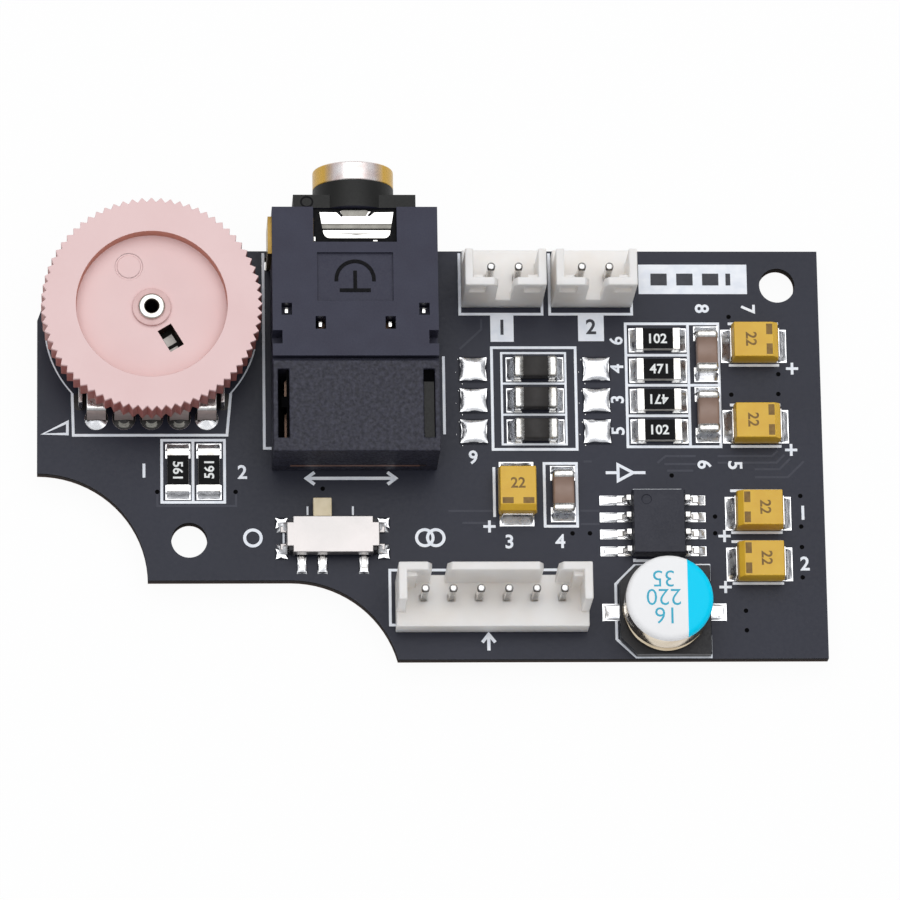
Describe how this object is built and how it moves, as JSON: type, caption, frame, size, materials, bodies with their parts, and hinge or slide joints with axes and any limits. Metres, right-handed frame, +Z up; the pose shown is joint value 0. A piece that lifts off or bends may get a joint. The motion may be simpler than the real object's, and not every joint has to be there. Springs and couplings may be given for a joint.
{
  "type": "audio amplifier board",
  "caption": "Black circuit board with a volume thumbwheel, headphone jack, slide switch, pin headers, amplifier chip and surface-mounted parts.",
  "frame": {"origin": "under the middle of the bounding box, on the plane that the tips of the trimmed leads touch", "axes": "+X to the right along the board, +Y to the back where the jack opens, +Z up out of the component side"},
  "size_m": [0.0572, 0.0358, 0.0082],
  "materials": {
    "solder_mask": "semi-gloss black solder mask over fibreglass",
    "tinned_land": "solder-levelled copper",
    "solder": "bright solder",
    "tinned_steel": "tin-plated steel sheet",
    "phenolic_wafer": "brown phenolic paper",
    "tinned_brass": "tin-plated brass",
    "rivet_metal": "plated brass eyelet",
    "washer_plastic": "pale plastic washer",
    "wheel_plastic": "pale pink moulded plastic",
    "spring_brass": "spring brass strip",
    "jack_plastic": "black moulded plastic",
    "plated_ring": "nickel-plated ring",
    "header_nylon": "off-white nylon",
    "black_plastic": "black moulded plastic",
    "lever_plastic": "beige moulded plastic",
    "chip_epoxy": "dark grey moulded epoxy",
    "can_aluminium": "satin aluminium can",
    "resistor_glaze": "black glaze on ceramic",
    "ferrite": "dark ferrite",
    "brown_ceramic": "brown ceramic",
    "yellow_epoxy": "yellow moulded epoxy"
  },
  "bodies": {
    "board": {"circuit_board": "solder_mask", "tinned_lands": "tinned_land", "solder_fillets": "solder", "solder_cones": "solder", "pot_frame": "tinned_steel", "pot_wafer": "phenolic_wafer", "pot_leads": "tinned_brass", "pot_rivet": "rivet_metal", "pot_washer": "washer_plastic", "jack_housing": "jack_plastic", "jack_rear_cap": "jack_plastic", "jack_nose_ring": "plated_ring", "jack_sleeve_contact": "spring_brass", "jack_tip_spring": "spring_brass", "jack_ring_spring": "spring_brass", "jack_tip_switch": "spring_brass", "jack_ring_switch": "spring_brass", "left_header_housing": "header_nylon", "left_header_pins": "tinned_brass", "right_header_housing": "header_nylon", "right_header_pins": "tinned_brass", "input_header_housing": "header_nylon", "input_header_pins": "tinned_brass", "switch_base": "black_plastic", "switch_cover": "tinned_steel", "switch_terminals": "tinned_brass", "resistor_1": "resistor_glaze", "resistor_2": "resistor_glaze", "resistor_3": "resistor_glaze", "resistor_4": "resistor_glaze", "resistor_5": "resistor_glaze", "resistor_6": "resistor_glaze", "ferrite_bead_1": "ferrite", "ferrite_bead_2": "ferrite", "ferrite_bead_3": "ferrite", "ceramic_capacitor_4": "brown_ceramic", "ceramic_capacitor_6": "brown_ceramic", "ceramic_capacitor_8": "brown_ceramic", "moulded_capacitor_1": "yellow_epoxy", "moulded_capacitor_2": "yellow_epoxy", "moulded_capacitor_3": "yellow_epoxy", "moulded_capacitor_5": "yellow_epoxy", "moulded_capacitor_7": "yellow_epoxy", "moulded_terminals_1": "tinned_brass", "moulded_terminals_2": "tinned_brass", "moulded_terminals_3": "tinned_brass", "moulded_terminals_5": "tinned_brass", "moulded_terminals_7": "tinned_brass", "amplifier_chip": "chip_epoxy", "amplifier_leads": "tinned_brass", "can_shell": "can_aluminium", "can_base": "black_plastic", "can_leads": "tinned_brass"},
    "wheel": {"thumbwheel": "wheel_plastic", "pot_wiper": "spring_brass"},
    "lever": {"switch_lever": "lever_plastic", "switch_bridge": "spring_brass"}
  },
  "joints": [
    {"name": "volume_turn", "type": "hinge", "parent": "board", "child": "wheel", "pos_m": [-0.0203, 0.0072, 0.0062], "axis": [0, 0, 1], "range_deg": [-140, 140]},
    {"name": "switch_slide", "type": "slide", "parent": "board", "child": "lever", "axis": [1, 0, 0], "range_m": [0, 0.0015]}
  ]
}
